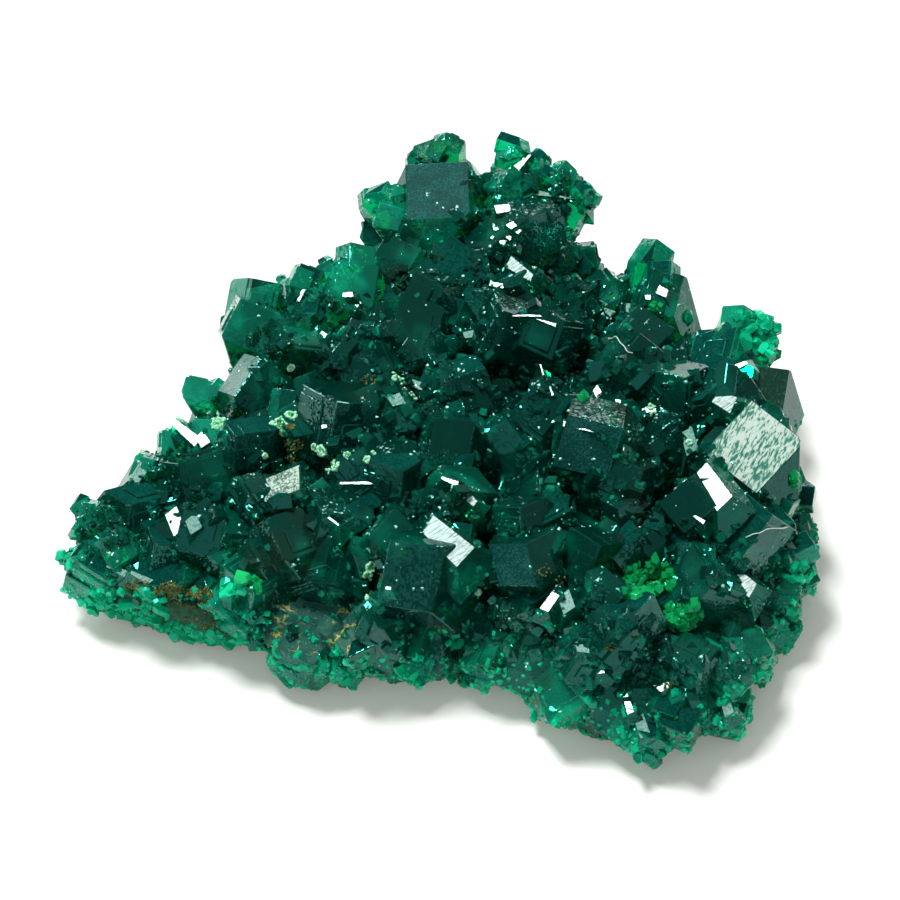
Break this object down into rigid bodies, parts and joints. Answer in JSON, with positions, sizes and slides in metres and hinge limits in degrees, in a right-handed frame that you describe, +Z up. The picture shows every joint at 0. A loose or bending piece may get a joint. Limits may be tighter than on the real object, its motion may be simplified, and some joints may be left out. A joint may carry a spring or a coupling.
{
  "type": "raw dioptase specimen",
  "caption": "Loose hand specimen of raw dioptase: a triangular plate of rock covered with stubby dark green prismatic crystals, resting on its flat rock underside.",
  "frame": {"origin": "middle of the footprint, on the surface that the specimen lies on", "axes": "+Z up through the crystals, +X along the longest side, -Y towards the notched front edge"},
  "size_m": [0.0594, 0.0572, 0.0168],
  "materials": {
    "dioptase": "vitreous deep green crystal, see-through in thin places",
    "host_rock": "dull olive brown rock with ochre iron stains"
  },
  "bodies": {
    "root": {"dioptase_crystals": "dioptase", "host_rock": "host_rock"}
  },
  "joints": []
}
